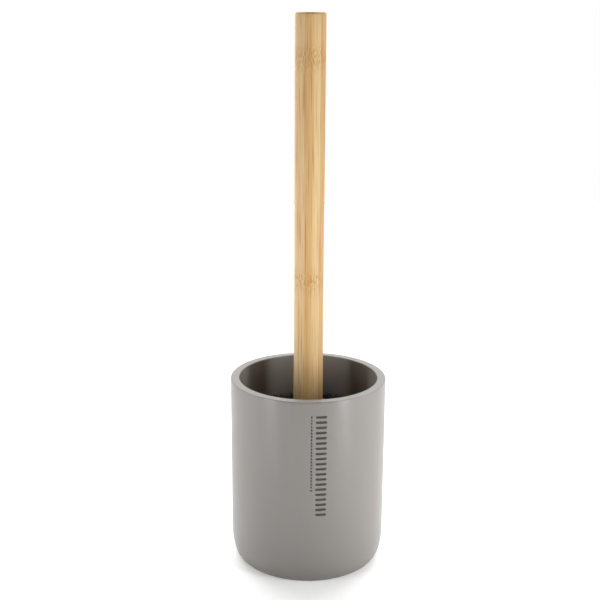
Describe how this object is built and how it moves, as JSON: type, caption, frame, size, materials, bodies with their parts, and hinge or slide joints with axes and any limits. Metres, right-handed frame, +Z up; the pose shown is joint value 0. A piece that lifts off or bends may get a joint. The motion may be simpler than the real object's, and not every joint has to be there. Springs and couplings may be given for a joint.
{
  "type": "toilet brush holder",
  "caption": "Free-standing toilet brush: open round cast-resin cup, bamboo bar handle and a black round bristle head that lifts out and unscrews from the handle.",
  "frame": {"origin": "centre of the face the cup stands on, on the cup's axis", "axes": "+Z up along the cup and handle, -Y towards the engraved front, +X to the right of it"},
  "size_m": [0.1, 0.1, 0.351],
  "materials": {
    "cast_resin": "matte warm grey cast polyresin",
    "foam_pad": "closed-cell foam sheet",
    "black_plastic": "moulded black polypropylene",
    "bristle": "black nylon bristle",
    "seal_rubber": "moulded rubber",
    "insert_brass": "turned brass",
    "bamboo": "laminated bamboo, clear satin lacquer"
  },
  "bodies": {
    "holder": {"holder_cup": "cast_resin", "base_pad": "foam_pad"},
    "brush_head": {"brush_core": "black_plastic", "bristle_row_01": "bristle", "bristle_row_02": "bristle", "bristle_row_03": "bristle", "bristle_row_04": "bristle", "bristle_row_05": "bristle", "bristle_row_06": "bristle", "bristle_row_07": "bristle", "bristle_row_08": "bristle", "bristle_row_09": "bristle", "bristle_row_10": "bristle", "bristle_row_11": "bristle", "bristle_row_12": "bristle", "bristle_row_13": "bristle", "bristle_end_tuft": "bristle"},
    "seal": {"sealing_washer": "seal_rubber"},
    "handle": {"threaded_insert": "insert_brass", "bamboo_handle": "bamboo"}
  },
  "joints": [
    {"name": "brush_lift", "type": "slide", "parent": "holder", "child": "brush_head", "axis": [0, 0, 1], "range_m": [0, 0.15]},
    {"name": "seal_rise", "type": "slide", "parent": "brush_head", "child": "seal", "axis": [0, 0, 1], "range_m": [0, 0.01501]},
    {"name": "handle_unscrew", "type": "hinge", "parent": "seal", "child": "handle", "pos_m": [0, 0, 0.1074], "axis": [0, 0, 1], "range_deg": [0, 1800]}
  ],
  "couplings": [
    {"joint": "seal_rise", "follows": "handle_unscrew", "m_per_rad": 0.00047746}
  ]
}
